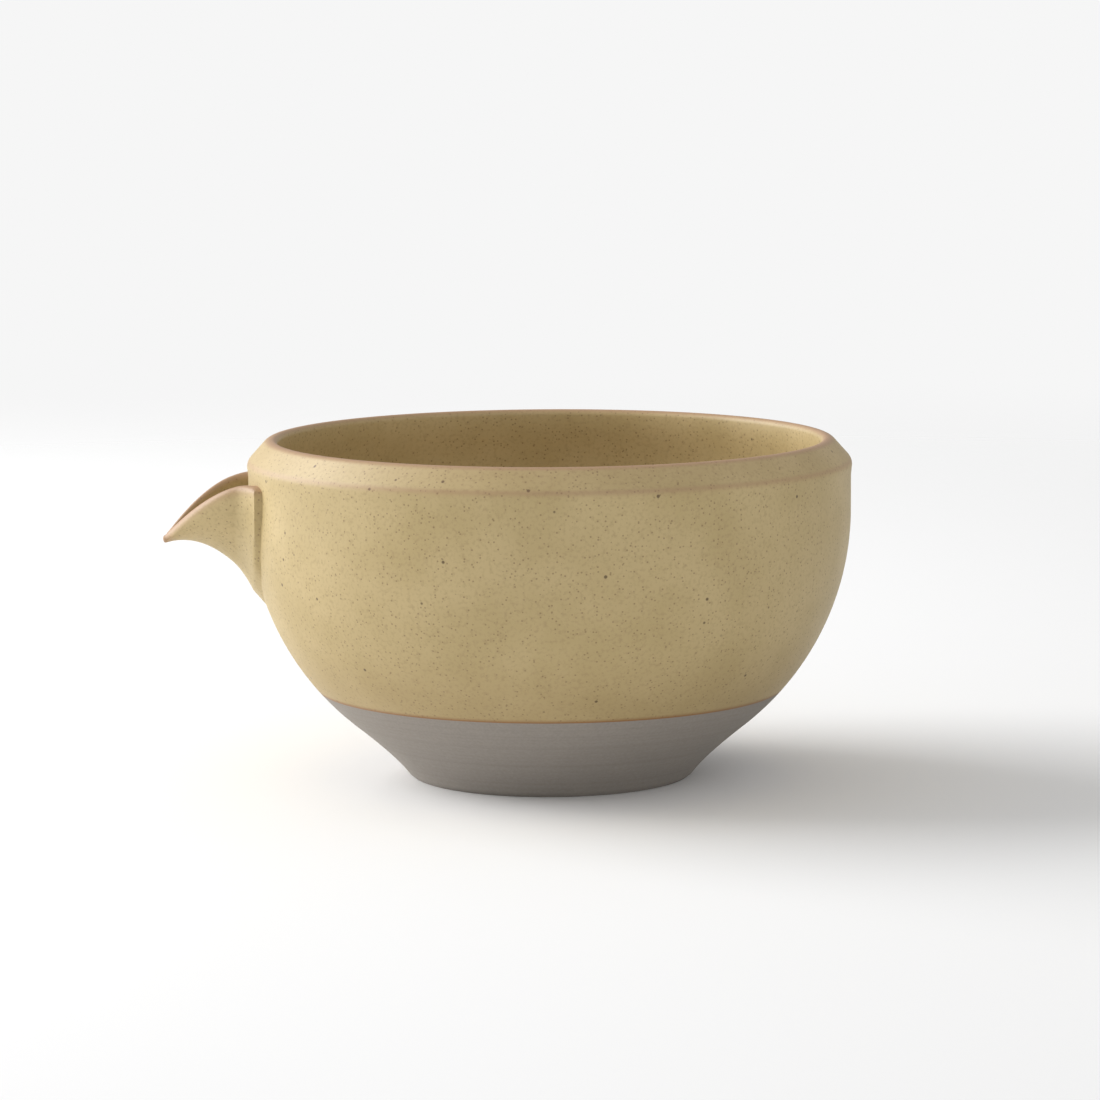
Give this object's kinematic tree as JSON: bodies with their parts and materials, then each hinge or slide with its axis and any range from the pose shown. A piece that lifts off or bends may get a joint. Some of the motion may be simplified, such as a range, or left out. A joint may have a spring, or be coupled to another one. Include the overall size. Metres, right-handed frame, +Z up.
{
  "type": "spouted bowl",
  "caption": "Round stoneware bowl with a bevelled rim, a turned foot ring and an open beak-shaped pouring spout on one side.",
  "frame": {"origin": "on the table plane, under the middle of the whole outline of bowl and spout", "axes": "+Z up, the spout points towards -X, Y is across the bowl"},
  "size_m": [0.1412, 0.1238, 0.0698],
  "materials": {
    "bare_stoneware": "fine matt bare clay",
    "khaki_glaze": "matt khaki glaze with fine brown specks"
  },
  "bodies": {
    "root": {"bowl_body": "bare_stoneware", "foot_ring": "bare_stoneware", "outer_glaze": "khaki_glaze", "inner_glaze": "khaki_glaze", "spout": "khaki_glaze"}
  },
  "joints": []
}
